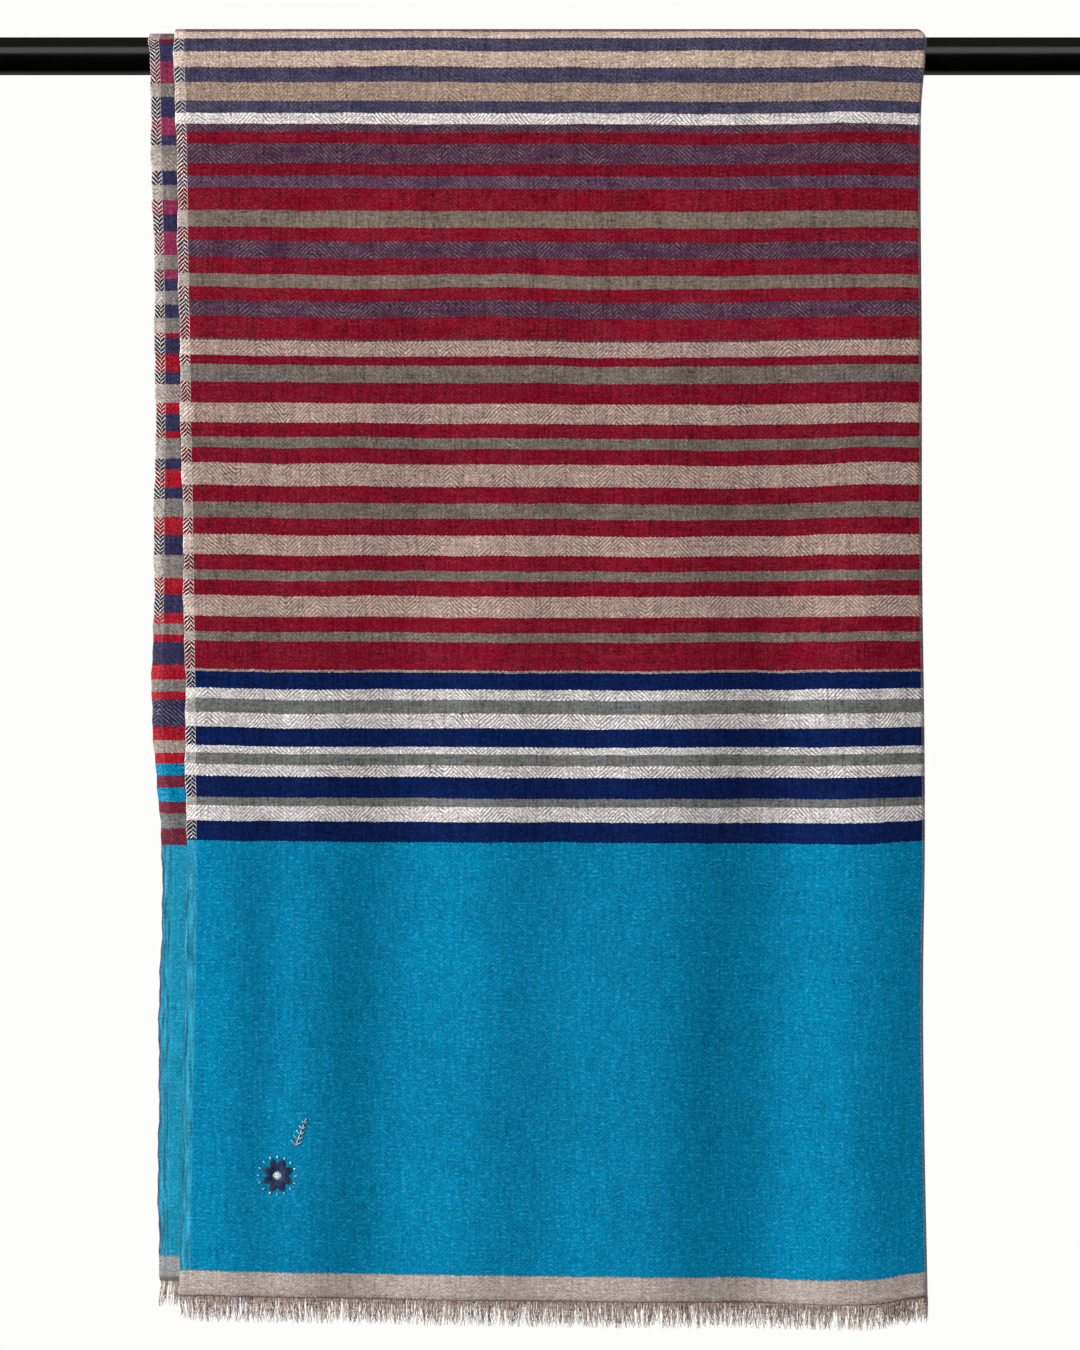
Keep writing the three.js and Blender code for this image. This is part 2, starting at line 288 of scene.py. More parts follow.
class ShawlSizes(bpy.types.PropertyGroup):
    """The cloth, its fringe and the rail, in metres."""

    width: length_prop("Cloth width", 1.166, "Width of the cloth laid flat, from selvedge to selvedge")
    thickness: length_prop("Thickness", 0.0007, "Thickness of the woven cloth")
    selvedge: length_prop("Selvedge", 0.0077, "Width of the strip along each selvedge with the pale warp")
    twill_pitch: length_prop("Twill pitch", 0.0033, "Distance from one diagonal of the twill to the next")
    twill_run: length_prop("Twill run", 0.015, "Distance that the diagonals lean one way at a stretch")
    fringe: length_prop("Fringe", 0.0185, "Length of the loose warp past each hem")
    yarn: length_prop("Yarn", 0.0007, "Diameter of a loose warp yarn at its root")
    rail_bevel: length_prop("Rail edge", 0.0012, "Bevel at the rail's ends")


class ShawlYarns(bpy.types.PropertyGroup):
    """The dyed yarns, a beige with painted light, and the rail's paint."""

    slate: colour_prop("Slate navy", "403c58", "Navy stripes near the rail")
    beige: colour_prop("Beige", "c8b0a0", "Beige stripes near the rail")
    # Beige with painted light: the stripe on top of the rail is painted lighter than the beige, for the
    # light that falls on top.
    lit_beige: colour_prop("Lit beige", "e0c6b6", "The pale beige stripe on top of the rail")
    mauve: colour_prop("Mauve", "846470", "The stripe along the crest")
    putty: colour_prop("Putty", "9c8c86", "The beige stripes seen from the reverse, and a thin line")
    mist: colour_prop("Mist", "a2a6a9", "The plain band seen from the reverse")
    tan: colour_prop("Tan", "a89080", "Tan stripe near the rail")
    ivory: colour_prop("Ivory", "e2dad6", "Pale stripe near the rail")
    plum: colour_prop("Plum", "4e2c44", "Plum stripes")
    heather: colour_prop("Heather", "563650", "A lighter plum stripe")
    crimson: colour_prop("Crimson", "820a22", "Red stripes of the upper half")
    wine: colour_prop("Wine", "7c0822", "Red stripes of the lower half and near the rail")
    scarlet: colour_prop("Scarlet", "a40c24", "Bright red stripes on the reverse")
    magenta: colour_prop("Magenta", "8e2c52", "Pinkish red stripes on the reverse")
    indigo: colour_prop("Indigo", "302e52", "Navy stripes on the reverse")
    iris: colour_prop("Iris", "28244c", "The navy stripe with pale strokes on the reverse")
    ash: colour_prop("Ash", "807874", "Grey stripes on the reverse")
    maroon: colour_prop("Maroon", "6c1c32", "Dark red stripes on the reverse, and a cord by the teal")
    stone: colour_prop("Stone", "786a60", "Grey stripes of the upper half")
    pewter: colour_prop("Pewter", "6c605a", "Grey stripes of the lower half")
    sand: colour_prop("Sand", "b0968a", "Sand stripes, woven with strong diagonals")
    chalk: colour_prop("Chalk", "d2cccc", "White stripes, woven with strong diagonals")
    navy: colour_prop("Deep navy", "061c4e", "Dark blue stripes above the teal")
    sage: colour_prop("Sage", "686a6a", "Green-grey stripes above the teal")
    teal: colour_prop("Teal", "007ea8", "The broad band above each hem")
    lagoon: colour_prop("Lagoon", "1c94b8", "The teal seen from the reverse, and its selvedges")
    hemp: colour_prop("Hemp", "b4a8a0", "The plain band at each hem")
    bark: colour_prop("Bark", "8c786c", "The dark lines at both edges of the plain band")
    warp: colour_prop("Warp", "6c6058", "The dark warp between the floats")
    cream: colour_prop("Cream", "e6ddd4", "The pale warp in the selvedges and between floats")
    fringe: colour_prop("Fringe", "b49e94", "The loose warp")
    paint: colour_prop("Rail paint", "020202", "The rail's black paint")


class ShawlStage(bpy.types.PropertyGroup):
    """Where the camera stands and how strong the lamps are."""

    view_height: length_prop("View height", 1.0377, "Height of the picture at the cloth's front face")
    distance: length_prop("Camera distance", 8.0, "Distance from the cloth's front face to the camera")
    centre_drop: length_prop("Centre below rail", 0.4768, "Depth of the picture's centre")
    floor_drop: length_prop("Floor below rail", 1.36, "Depth of the floor below the rail's axis")
    key: power_prop("Key", 940, "Power of the lamp at the left")
    front: power_prop("Front", 16, "Power of the high front lamp")
    rear: power_prop("Rear", 520, "Power of the lamp behind")
    ambient: bpy.props.FloatProperty(
        name="Ambient", description="Brightness of the room", default=0.06, min=0, max=1
    )


# The cloth's surface


def ease(value):
    """A smooth step: 0 below 0, 1 above 1, and 3t squared less 2t cubed between."""
    t = np.clip(value, 0, 1)
    return t * t * (3 - 2 * t)


def smooth(table, key, name, at):
    """A smooth curve through a table's rows: a cubic between neighbours whose slope at each row is
    the rise between the rows on both sides of it."""
    knots, values = table[key], table[name]
    slope = np.zeros(len(knots))
    slope[1:-1] = (values[2:] - values[:-2]) / (knots[2:] - knots[:-2])
    slope[0] = (values[1] - values[0]) / (knots[1] - knots[0])
    slope[-1] = (values[-1] - values[-2]) / (knots[-1] - knots[-2])
    i = np.clip(np.searchsorted(knots, at, side="left") - 1, 0, len(knots) - 2)
    span = knots[i + 1] - knots[i]
    t = np.clip((at - knots[i]) / span, 0, 1)
    return (
        (2 * t**3 - 3 * t**2 + 1) * values[i]
        + (t**3 - 2 * t**2 + t) * span * slope[i]
        + (3 * t**2 - 2 * t**3) * values[i + 1]
        + (t**3 - t**2) * span * slope[i + 1]
    )


def relief(folds, creases, x, depth):
    """Distance out from the flat drop: the sum of cosine bells across x. A fold's bell grows
    with depth, and a crease's is also a cosine bell down the drop."""
    total = np.zeros(np.broadcast(x, depth).shape)
    for x0, width, height, start, full, lean in zip(*folds.values()):
        off = np.clip((x - x0 - lean * (depth - full)) / width, -1, 1)
        total += height * (0.5 + 0.5 * np.cos(np.pi * off)) * ease((depth - start) / (full - start))
    for x0, middle, width, length, height, lean in zip(*creases.values()):
        down = np.clip((depth - middle) / length, -1, 1)
        off = np.clip((x - x0 - lean * (depth - middle)) / width, -1, 1)
        total += height * (0.5 + 0.5 * np.cos(np.pi * off)) * (0.5 + 0.5 * np.cos(np.pi * down))
    return total


def spans(width):
    """Distances across the cloth where the turn starts and ends. The outer layer is a little
    narrower than the inner one, whose selvedge shows beside it."""
    return np.array([0, 0.4885 * width, 0.4962 * width, width])


def middle(across, along, width):
    """The middle of the cloth at a place in its flat measure, in millimetres. Across the cloth the
    section is a hairpin: a layer, half an ellipse and a layer back. Along it the cloth follows a
    circle round the rail, a little taller than round, and then falls straight, apart from the folds."""
    across, along = np.broadcast_arrays(np.asarray(across, float), np.asarray(along, float))
    place = np.interp(across, spans(width), [0, 1, 2, 3])
    depth = np.abs(along) - CREST_ARC
    front = along >= 0

    def edge(name):
        ahead = smooth(FRONT_EDGES, "depth", name, depth)
        return np.where(front, ahead, smooth(BACK_EDGES, "depth", name, depth))

    def bulge(x):
        ahead = relief(FRONT_FOLDS, FRONT_CREASES, x, depth)
        behind = relief(BACK_FOLDS, BACK_CREASES, x, depth)
        return np.where(front, ahead, behind)

    fold = edge("fold")
    swell = TURN["swell"] * ease((depth - TURN["from"]) / (TURN["full"] - TURN["from"]))

    def outer_at(x):
        return OUTER_LAYER + bulge(x)

    def inner_at(x):
        near_fold = np.exp(-(((fold - x) / TURN["reach"]) ** 2))
        return INNER_LAYER - swell * near_fold + INNER_FOLLOWS * bulge(x)

    reach = (outer_at(fold) - inner_at(fold)) / 2 * TURN["stretch"]
    start = fold - reach
    out_start, in_start = outer_at(start), inner_at(start)
    angle = math.pi * (0.5 - (np.clip(place, 1, 2) - 1))
    x_outer = edge("outer") + (start - edge("outer")) * np.clip(place, 0, 1)
    x_inner = start + (edge("inner") - start) * np.clip(place - 2, 0, 1)
    x = np.where(place <= 1, x_outer, np.where(place >= 2, x_inner, start + reach * np.cos(angle)))
    turned = (out_start + in_start) / 2 + (out_start - in_start) / 2 * np.sin(angle)
    out = np.where(place <= 1, outer_at(x), np.where(place >= 2, inner_at(x), turned))

    ragged = sum(tall * np.sin(along / long + begins) for tall, long, begins in RAGGED_WAVES)
    x = x + ragged * (ease(1 - across / RAGGED_REACH) - ease(1 - (width - across) / RAGGED_REACH))
    hem = np.where(front, FRONT_HEM, BACK_HEM)
    near_rail = smooth(LIFT, "place", "under_rail", place) * (1 - ease(depth / LIFT_FADES))
    near_rail = near_rail * ease(depth / LIFT_SETTLES)
    near_hem = smooth(LIFT, "place", "hem", place) * ease((depth - LIFT_STARTS) / (hem - LIFT_STARTS))
    waves = 0
    for name, centre in SAG_DEPTHS.items():
        down = np.clip((depth - centre) / LIFT_FADES, -1, 1)
        waves = waves + smooth(SAG, "place", name, place) * (0.5 + 0.5 * np.cos(np.pi * down))
    bend = np.clip(np.abs(along) / OUTER_LAYER, 0, math.pi / 2)
    side = np.where(front, -1.0, 1.0)
    height = (out + CROWN) * np.cos(bend) - np.maximum(depth, 0) + near_rail + waves + near_hem
    return np.stack([x, side * out * np.sin(bend), height], axis=-1)


def normals(across, along, width):
    """The direction out of the cloth's face: the cross product of two short steps, one along the
    cloth and one across it."""
    step = 0.4
    over = middle(across + step, along, width) - middle(across - step, along, width)
    down = middle(across, along + step, width) - middle(across, along - step, width)
    out = np.cross(down, over)
    return out / np.maximum(np.linalg.norm(out, axis=-1, keepdims=True), 1e-9)


# Meshes


def mesh_object(name, points, quads, uv=None, materials=(), material_index=None):
    """A smooth mesh from points in millimetres and faces of four corners, or of three and a -1. uv
    is one pair of metres for each point."""
    real = quads >= 0
    corners = quads[real]
    sides = real.sum(axis=1)
    mesh = bpy.data.meshes.new(name)
    mesh.vertices.add(len(points))
    mesh.vertices.foreach_set("co", (np.asarray(points) * MM).ravel())
    mesh.loops.add(corners.size)
    mesh.loops.foreach_set("vertex_index", corners)
    mesh.polygons.add(len(quads))
    mesh.polygons.foreach_set("loop_start", np.cumsum(sides) - sides)
    if uv is not None:
        layer = mesh.uv_layers.new(name="weave")
        layer.data.foreach_set("uv", np.asarray(uv)[corners].ravel())
    for material in materials:
        mesh.materials.append(material)
    if material_index is not None:
        mesh.polygons.foreach_set("material_index", material_index)
    mesh.polygons.foreach_set("use_smooth", np.ones(len(quads), bool))
    mesh.update(calc_edges=True)
    mesh.validate()
    made = bpy.data.objects.new(name, mesh)
    bpy.context.scene.collection.objects.link(made)
    return made


def grid_quads(rows, cols, first=0):
    """The four-cornered faces of a grid of points stored row by row, facing along the cross
    product of a step down the rows and a step across them."""
    corner = (np.arange(rows - 1)[:, None] * cols + np.arange(cols - 1)).ravel() + first
    return np.stack([corner, corner + cols, corner + cols + 1, corner + 1], axis=1)


def tube_faces(count, rings, sides):
    """The faces of closed tubes, facing outwards. Their points are stored tube by tube and ring by
    ring, then a point in the middle of each tube's start, then one for each tube's end."""
    ring = np.arange(sides)
    after = (ring + 1) % sides
    tube = np.arange(count)[:, None] * rings * sides
    base = tube[:, :, None] + np.arange(rings - 1)[None, :, None] * sides
    body = np.stack([base + ring, base + after, base + after + sides, base + ring + sides], axis=-1)
    middle_of = np.broadcast_to(count * rings * sides + np.arange(count)[:, None], (count, sides))
    none = np.full((count, sides), -1)
    start = np.stack([middle_of, tube + after, tube + ring, none], axis=-1)
    last = tube + (rings - 1) * sides
    end = np.stack([middle_of + count, last + ring, last + after, none], axis=-1)
    return np.concatenate([body.reshape(-1, 4), start.reshape(-1, 4), end.reshape(-1, 4)])


def tubes(paths, radii, sides, uv):
    """Round threads: a ring of points square to each path at each of its points, and a point at
    each end. paths is threads by steps by 3, radii is threads by steps, and uv is a pair of
    millimetres for each point of the paths."""
    count, steps, _ = paths.shape
    along = np.gradient(paths, axis=1)
    along /= np.maximum(np.linalg.norm(along, axis=2, keepdims=True), 1e-9)
    first = np.cross(along, np.array([0.13, 0.97, 0.21]))
    first /= np.maximum(np.linalg.norm(first, axis=2, keepdims=True), 1e-9)
    second = np.cross(along, first)
    turn = np.linspace(0, 2 * math.pi, sides, endpoint=False)[:, None]
    ring = first[:, :, None, :] * np.cos(turn) + second[:, :, None, :] * np.sin(turn)
    rings = paths[:, :, None, :] + ring * radii[:, :, None, None]
    points = np.concatenate([rings.reshape(-1, 3), paths[:, 0], paths[:, -1]])
    around = np.repeat(uv.reshape(-1, 2), sides, axis=0)
    uv = np.concatenate([around, uv[:, 0], uv[:, -1]]) * MM
    return points, tube_faces(count, steps, sides), uv


# Shader helpers


def put(tree, kind, links=None, **settings):
    """Adds a node. links gives each input, by name or number, a value or another node's socket."""
    made = tree.nodes.new(kind)
    for name, value in settings.items():
        setattr(made, name, value)
    for name, value in (links or {}).items():
        if isinstance(value, bpy.types.NodeSocket):
            tree.links.new(value, made.inputs[name])
        else:
            made.inputs[name].default_value = value
    return made


def calc(tree, operation, *values):
    """The result of a Math node."""
    return put(tree, "ShaderNodeMath", dict(enumerate(values)), operation=operation).outputs[0]


def times(tree, a, b):
    return calc(tree, "MULTIPLY", a, b)


def scaled(tree, value, factor, offset):
    """A value times a factor, plus an offset."""
    return calc(tree, "MULTIPLY_ADD", value, factor, offset)


def blend(tree, share, a, b, mode="MIX"):
    """The result of a colour Mix node."""
    links = {0: share, 6: a, 7: b}
    return put(tree, "ShaderNodeMix", links, data_type="RGBA", blend_type=mode).outputs[2]


def blend_values(tree, share, a, b):
    """The result of a Mix node for plain values."""
    return put(tree, "ShaderNodeMix", {0: share, 2: a, 3: b}).outputs[0]


def spread(tree, value, low, high, to_low, to_high):
    """A value carried in proportion from one range to another, and held at its ends."""
    links = {0: value, 1: low, 2: high, 3: to_low, 4: to_high}
    return put(tree, "ShaderNodeMapRange", links).outputs[0]


def step_between(tree, value, low, high):
    """A smooth step: 0 at low and 1 at high, which may be the smaller of the two."""
    if low > high:
        return calc(tree, "SUBTRACT", 1.0, step_between(tree, value, high, low))
    links = {0: value, 1: low, 2: high}
    return put(tree, "ShaderNodeMapRange", links, interpolation_type="SMOOTHSTEP").outputs[0]


def toned(tree, colour, shade):
    """A colour made lighter or darker by a value."""
    grey = put(tree, "ShaderNodeCombineXYZ", {0: shade, 1: shade, 2: shade})
    return blend(tree, 1.0, colour, grey.outputs[0], "MULTIPLY")


def bumped(tree, shader, strength, distance, height):
    """Gives a shader a bump from a height."""
    bump = put(tree, "ShaderNodeBump", {"Strength": strength, "Distance": distance, "Height": height})
    tree.links.new(bump.outputs[0], shader.inputs["Normal"])


def new_group(name, inputs, outputs):
    """An empty shader node group with named float inputs and outputs."""
    tree = bpy.data.node_groups.new(name, "ShaderNodeTree")
    for label, default in inputs:
        socket = tree.interface.new_socket(label, in_out="INPUT", socket_type="NodeSocketFloat")
        socket.default_value = default
    for label in outputs:
        tree.interface.new_socket(label, in_out="OUTPUT", socket_type="NodeSocketFloat")
    return tree, tree.nodes.new("NodeGroupInput"), tree.nodes.new("NodeGroupOutput")


def stretched_noise(tree, across, along, scale_across, scale_along, detail=2.0):
    """Noise whose grains are longer one way, from 0 to 1."""
    links = {0: times(tree, across, scale_across), 1: times(tree, along, scale_along)}
    spot = put(tree, "ShaderNodeCombineXYZ", links).outputs[0]
    return put(tree, "ShaderNodeTexNoise", {"Vector": spot, "Scale": 1.0, "Detail": detail}).outputs[0]


def twill_group():
    """Diagonals that lean one way, then turn back after uneven runs, as in a broken twill: the
    three ping-pongs keep the slope and so the pitch, and only their turns fall together or apart.
    Diagonal runs from 0 on the ground to 1 on a float. Broken, for the selvedges, turns at each
    narrow column and starts anew there. Tooth is how far the weft strays at a stripe's edge, in
    metres: the twill's steps, uneven beating and a slow bow."""
    name = "Goose-eye twill"
    if name in bpy.data.node_groups:
        return bpy.data.node_groups[name]
    inputs = [("Across", 0), ("Along", 0), ("Pitch", 0.0033), ("Run", 0.015)]
    tree, entry, leave = new_group(name, inputs, ["Diagonal", "Broken", "Tooth"])
    across, along, pitch, run = entry.outputs[:4]
    drift = stretched_noise(tree, across, along, 34, 14, 1)
    zigzag = scaled(tree, drift, 0.011, across)
    for runs in (13.7, 4.4, 1.55):
        zigzag = calc(tree, "PINGPONG", zigzag, times(tree, run, runs))
    wander = scaled(tree, stretched_noise(tree, across, along, 170, 150), 0.003, along)
    narrow = 0.0048
    column = calc(tree, "FLOOR", calc(tree, "DIVIDE", across, narrow))
    broken = scaled(tree, column, 0.0013, calc(tree, "PINGPONG", across, narrow))
    for lean, label in ((zigzag, "Diagonal"), (broken, "Broken")):
        phase = calc(tree, "DIVIDE", calc(tree, "ADD", wander, lean), pitch)
        tree.links.new(times(tree, calc(tree, "PINGPONG", phase, 0.5), 2), leave.inputs[label])
    step = calc(tree, "PINGPONG", calc(tree, "DIVIDE", zigzag, pitch), 0.5)
    tooth = times(tree, calc(tree, "SUBTRACT", step, 0.25), times(tree, pitch, 0.3))
    for scale_across, scale_along, reach in ((9, 7, 0.0034), (40, 16, 0.0016), (330, 60, 0.0012)):
        stray = stretched_noise(tree, across, along, scale_across, scale_along, 1)
        tooth = scaled(tree, calc(tree, "SUBTRACT", stray, 0.5), reach, tooth)
    tree.links.new(tooth, leave.inputs["Tooth"])
    return tree


def yarn_group():
    """Uneven yarn. Tone is a lightness round 1 from slubs along the weft, streaks along the warp
    and soft patches. Fleck is 0 to 1, in small short marks. Height is for the bump."""
    name = "Uneven yarn"
    if name in bpy.data.node_groups:
        return bpy.data.node_groups[name]
    inputs = [("Across", 0), ("Along", 0), ("Amount", 1)]
    tree, entry, leave = new_group(name, inputs, ["Tone", "Fleck", "Height"])
    across, along, amount = entry.outputs[:3]
    total = 0.0
    for scale_across, scale_along, weight in (
        (560, 560, 2.0),
        (300, 300, 0.8),
        (70, 760, 1.2),
        (3, 260, 0.45),
        (620, 60, 1.3),
        (230, 18, 0.6),
        (60, 60, 0.4),
        (14, 10, 0.5),
    ):
        grain = stretched_noise(tree, across, along, scale_across, scale_along)
        total = scaled(tree, calc(tree, "SUBTRACT", grain, 0.5), weight, total)
    tree.links.new(scaled(tree, times(tree, total, amount), 0.85, 1.0), leave.inputs["Tone"])
    mark = stretched_noise(tree, across, along, 260, 560, 3)
    tree.links.new(step_between(tree, mark, 0.5, 0.72), leave.inputs["Fleck"])
    slub = stretched_noise(tree, across, along, 90, 900)
    thread = calc(tree, "PINGPONG", times(tree, along, 1800), 0.5)
    tree.links.new(calc(tree, "ADD", slub, thread), leave.inputs["Height"])
    return tree


def selvedge_group():
    """Strip is 1 within the width of a selvedge from either long edge of the cloth. Line is 1 on the
    bright cord at the very edge, and half that where the strip meets the rest of the cloth."""
    name = "Selvedge"
    if name in bpy.data.node_groups:
        return bpy.data.node_groups[name]
    inputs = [("Across", 0), ("Cloth", 1.166), ("Width", 0.0077)]
    tree, entry, leave = new_group(name, inputs, ["Strip", "Line"])
    across, cloth, width = entry.outputs[:3]
    inset = calc(tree, "MINIMUM", across, calc(tree, "SUBTRACT", cloth, across))
    tree.links.new(calc(tree, "LESS_THAN", inset, width), leave.inputs["Strip"])
    outer = calc(tree, "LESS_THAN", inset, 0.0006)
    hinge = calc(tree, "COMPARE", inset, width, 0.0003)
    tree.links.new(calc(tree, "MAXIMUM", outer, times(tree, hinge, 0.5)), leave.inputs["Line"])
    return tree


def use_group(tree, group, links):
    return put(tree, "ShaderNodeGroup", links, node_tree=group).outputs


def stripes(tree, draft, yarns, place):
    """The yarn's colour at a distance along the cloth, and how strongly the warp shows there, from
    -1 to 1. A ramp holds few colours and rounds their ends to a part of its length, so each has few
    stripes, and runs from the end of its first to the start of its last. Each later ramp takes over
    where the last one ends."""
    ramp_rows = 14
    ends = np.cumsum([row[1] for row in draft]) * MM
    starts = np.concatenate([[0], ends[:-1]])
    colour = share = None
    for first in range(0, len(draft), ramp_rows):
        rows = draft[first : first + ramp_rows]
        low, high = ends[first] - MM, starts[first + len(rows) - 1] + MM
        at = calc(tree, "DIVIDE", calc(tree, "SUBTRACT", place, float(low)), float(high - low))
        ramp = put(tree, "ShaderNodeValToRGB", {0: at})
        ramp.color_ramp.interpolation = "CONSTANT"
        stops = ramp.color_ramp.elements
        stops.remove(stops[1])
        for i, (yarn, _) in enumerate(rows):
            spot = max(0.0, float((starts[first + i] - low) / (high - low)))
            stop = stops[0] if i == 0 else stops.new(spot)
            stop.position = spot
            stop.color = (*getattr(yarns, yarn), 0.5 + WARP_SHOWS[yarn] / 2)
        if colour is None:
            colour, share = ramp.outputs[0], ramp.outputs[1]
        else:
            past = calc(tree, "GREATER_THAN", place, float(starts[first]))
            colour = blend(tree, past, colour, ramp.outputs[0])
            share = blend_values(tree, past, share, ramp.outputs[1])
    return colour, scaled(tree, share, 2.0, -1.0)


def weave_coordinates(tree):
    """The cloth's own measure in metres, from its UV map."""
    uv = put(tree, "ShaderNodeUVMap", uv_map="weave")
    split = put(tree, "ShaderNodeSeparateXYZ", {0: uv.outputs[0]})
    return split.outputs[0], split.outputs[1]


def new_material(name, base):
    """A material with its Principled node, and a viewport colour."""
    made = bpy.data.materials.new(name)
    made.use_nodes = True
    made.diffuse_color = (*base, 1)
    return made, made.node_tree, made.node_tree.nodes["Principled BSDF"]


# Half the width of the dark pick where the plain band starts, the width of the red-brown cord along
# the inner selvedge of the teal, the width of the painted shadow along the outer one, and half the
# width of the painted highlight along the fold, in metres.
DARK_PICK = 0.00045
CORD = 0.0016
EDGE_SHADOW = 0.0023
FOLD_HIGHLIGHT = 0.0033


def cloth_material(name, draft, sizes, yarns, dull_strip, strokes_end):
    """Wool twill: the stripe's yarn in floats over a dark or a pale warp, slubs and a faint sheen,
    with the floats painted lighter and the gaps between them darker as light and shade. The selvedge
    is a strip with pale strokes beside the stripes and a paler strip in the teal, with a red-brown
    cord along the inner one; in the teal it has streaks of painted light and shade for crinkles and a
    painted shadow along the outer edge. A painted highlight runs along the fold. dull_strip is how
    much darker the selvedge is below the stripes, and strokes_end is where its pale strokes stop, in
    metres from the crest."""
    made, tree, shader = new_material(name, yarns.teal)
    across, along = weave_coordinates(tree)
    place = calc(tree, "ABSOLUTE", along)
    links = {"Across": across, "Along": place, "Pitch": sizes.twill_pitch, "Run": sizes.twill_run}
    twill = use_group(tree, twill_group(), links)
    striped = calc(tree, "LESS_THAN", place, TEAL_STARTS * MM)
    links = {"Across": across, "Along": along, "Amount": scaled(tree, striped, 0.4, 0.62)}
    yarn = use_group(tree, yarn_group(), links)
    links = {"Across": across, "Cloth": sizes.width, "Width": sizes.selvedge}
    edge = use_group(tree, selvedge_group(), links)
    strayed = calc(tree, "ADD", place, twill["Tooth"])
    colour, share = stripes(tree, draft, yarns, strayed)
    dark_pick = calc(tree, "COMPARE", strayed, BAND_STARTS * MM, DARK_PICK)
    colour = blend(tree, times(tree, dark_pick, 0.6), colour, (*yarns.bark, 1))
    lightness = put(tree, "ShaderNodeRGBToBW", {0: colour}).outputs[0]
    # The dark warp between the floats, then flecks in the yarn, then the pale warp.
    patch = spread(tree, stretched_noise(tree, across, along, 45, 80, 4), 0.36, 0.64, 0.1, 1.15)
    broken_up = spread(tree, stretched_noise(tree, across, along, 380, 380, 1), 0.36, 0.56, 0.35, 1.15)
    ground = times(tree, step_between(tree, twill["Diagonal"], 0.6, 0.25), share)
    ground = times(tree, ground, scaled(tree, patch, 0.4, 0.6))
    colour = blend(tree, times(tree, ground, broken_up), colour, (*yarns.warp, 1))
    dull = scaled(tree, share, -0.5, 0.95)
    lift = put(tree, "ShaderNodeHueSaturation", {"Color": colour, "Saturation": dull, "Value": 1.6})
    colour = blend(tree, times(tree, yarn["Fleck"], 0.6), colour, lift.outputs[0])
    shows = times(tree, step_between(tree, twill["Diagonal"], 0.5, 0.25), patch)
    shows = times(tree, times(tree, shows, broken_up), times(tree, share, -1.1))
    colour = blend(tree, shows, colour, (*yarns.cream, 1))
    # The selvedges of the teal, which is each draft's broadest stripe, are woven paler.
    widths = [row[1] for row in draft]
    broad = widths.index(max(widths))
    half = widths[broad] / 2
    in_teal = calc(tree, "COMPARE", strayed, (sum(widths[:broad]) + half) * MM, half * MM)
    paler = times(tree, in_teal, edge["Strip"])
    colour = blend(tree, paler, colour, (*yarns.lagoon, 1))
    cord = times(tree, in_teal, calc(tree, "GREATER_THAN", across, sizes.width - CORD))
    colour = blend(tree, times(tree, cord, 0.5), colour, (*yarns.maroon, 1))
    # The selvedge's pale strokes, weak on the grey and pale stripes.
    marked = times(tree, step_between(tree, place, strokes_end + 0.01, strokes_end - 0.01), striped)
    stroke = times(tree, step_between(tree, twill["Broken"], 0.56, 0.84), marked)
    plain = times(tree, step_between(tree, lightness, 0.08, 0.13), marked)
    stroke = times(tree, stroke, scaled(tree, plain, -0.7, 1.0))
    pale = scaled(tree, stroke, scaled(tree, patch, 0.4, 0.55), 0.018)
    pale = calc(tree, "MAXIMUM", pale, times(tree, plain, 0.28))
    pale = times(tree, edge["Strip"], pale)
    line = times(tree, edge["Line"], scaled(tree, marked, 0.63, 0.07))
    pale = calc(tree, "MAXIMUM", pale, line)
    # Painted highlight: the cloth along the fold is painted paler, as light on the turn.
    painted_fold_highlight = calc(tree, "COMPARE", across, spans(sizes.width)[1:3].mean(), FOLD_HIGHLIGHT)
    pale = calc(tree, "MAXIMUM", pale, times(tree, painted_fold_highlight, 0.28))
    colour = blend(tree, pale, colour, (*yarns.cream, 1))
    # Painted light and shade: the floats are painted lighter than the gaps between them. The plain band
    # is ribbed.
    weave_light_and_shade = calc(tree, "SUBTRACT", step_between(tree, twill["Diagonal"], 0.3, 0.62), 0.6)
    weave_light_and_shade = times(tree, weave_light_and_shade, patch)
    weave_light_and_shade = times(tree, weave_light_and_shade, scaled(tree, striped, 0.27, 0.25))
    level = times(tree, step_between(tree, lightness, 0.2, 0.4), step_between(tree, share, 0.25, 0.1))
    weave_light_and_shade = times(tree, weave_light_and_shade, scaled(tree, level, -0.5, 1.0))
    shade = times(tree, yarn["Tone"], calc(tree, "ADD", weave_light_and_shade, 1.0))
    rib = spread(tree, stretched_noise(tree, across, along, 150, 900), 0.3, 0.7, 0.8, 1.16)
    rib = blend_values(tree, calc(tree, "GREATER_THAN", place, BAND_STARTS * MM), 1.0, rib)
    # Between its strokes the strip is darker than the stripe. In the teal the strip gets streaks of
    # painted light and shade for crinkles, and a painted shadow along its outer edge.
    below = scaled(tree, striped, dull_strip, -dull_strip)
    strip_tone = scaled(tree, marked, -0.6, below)
    strip_tone = times(tree, strip_tone, scaled(tree, plain, -0.85, 1.0))
    strip_tone = times(tree, strip_tone, edge["Strip"])
    strip_tone = scaled(tree, strip_tone, calc(tree, "SUBTRACT", 1.0, stroke), 1.0)
    painted_crinkle_and_edge_shade = spread(tree, stretched_noise(tree, across, along, 420, 34), 0.34, 0.66, -0.3, 0.3)
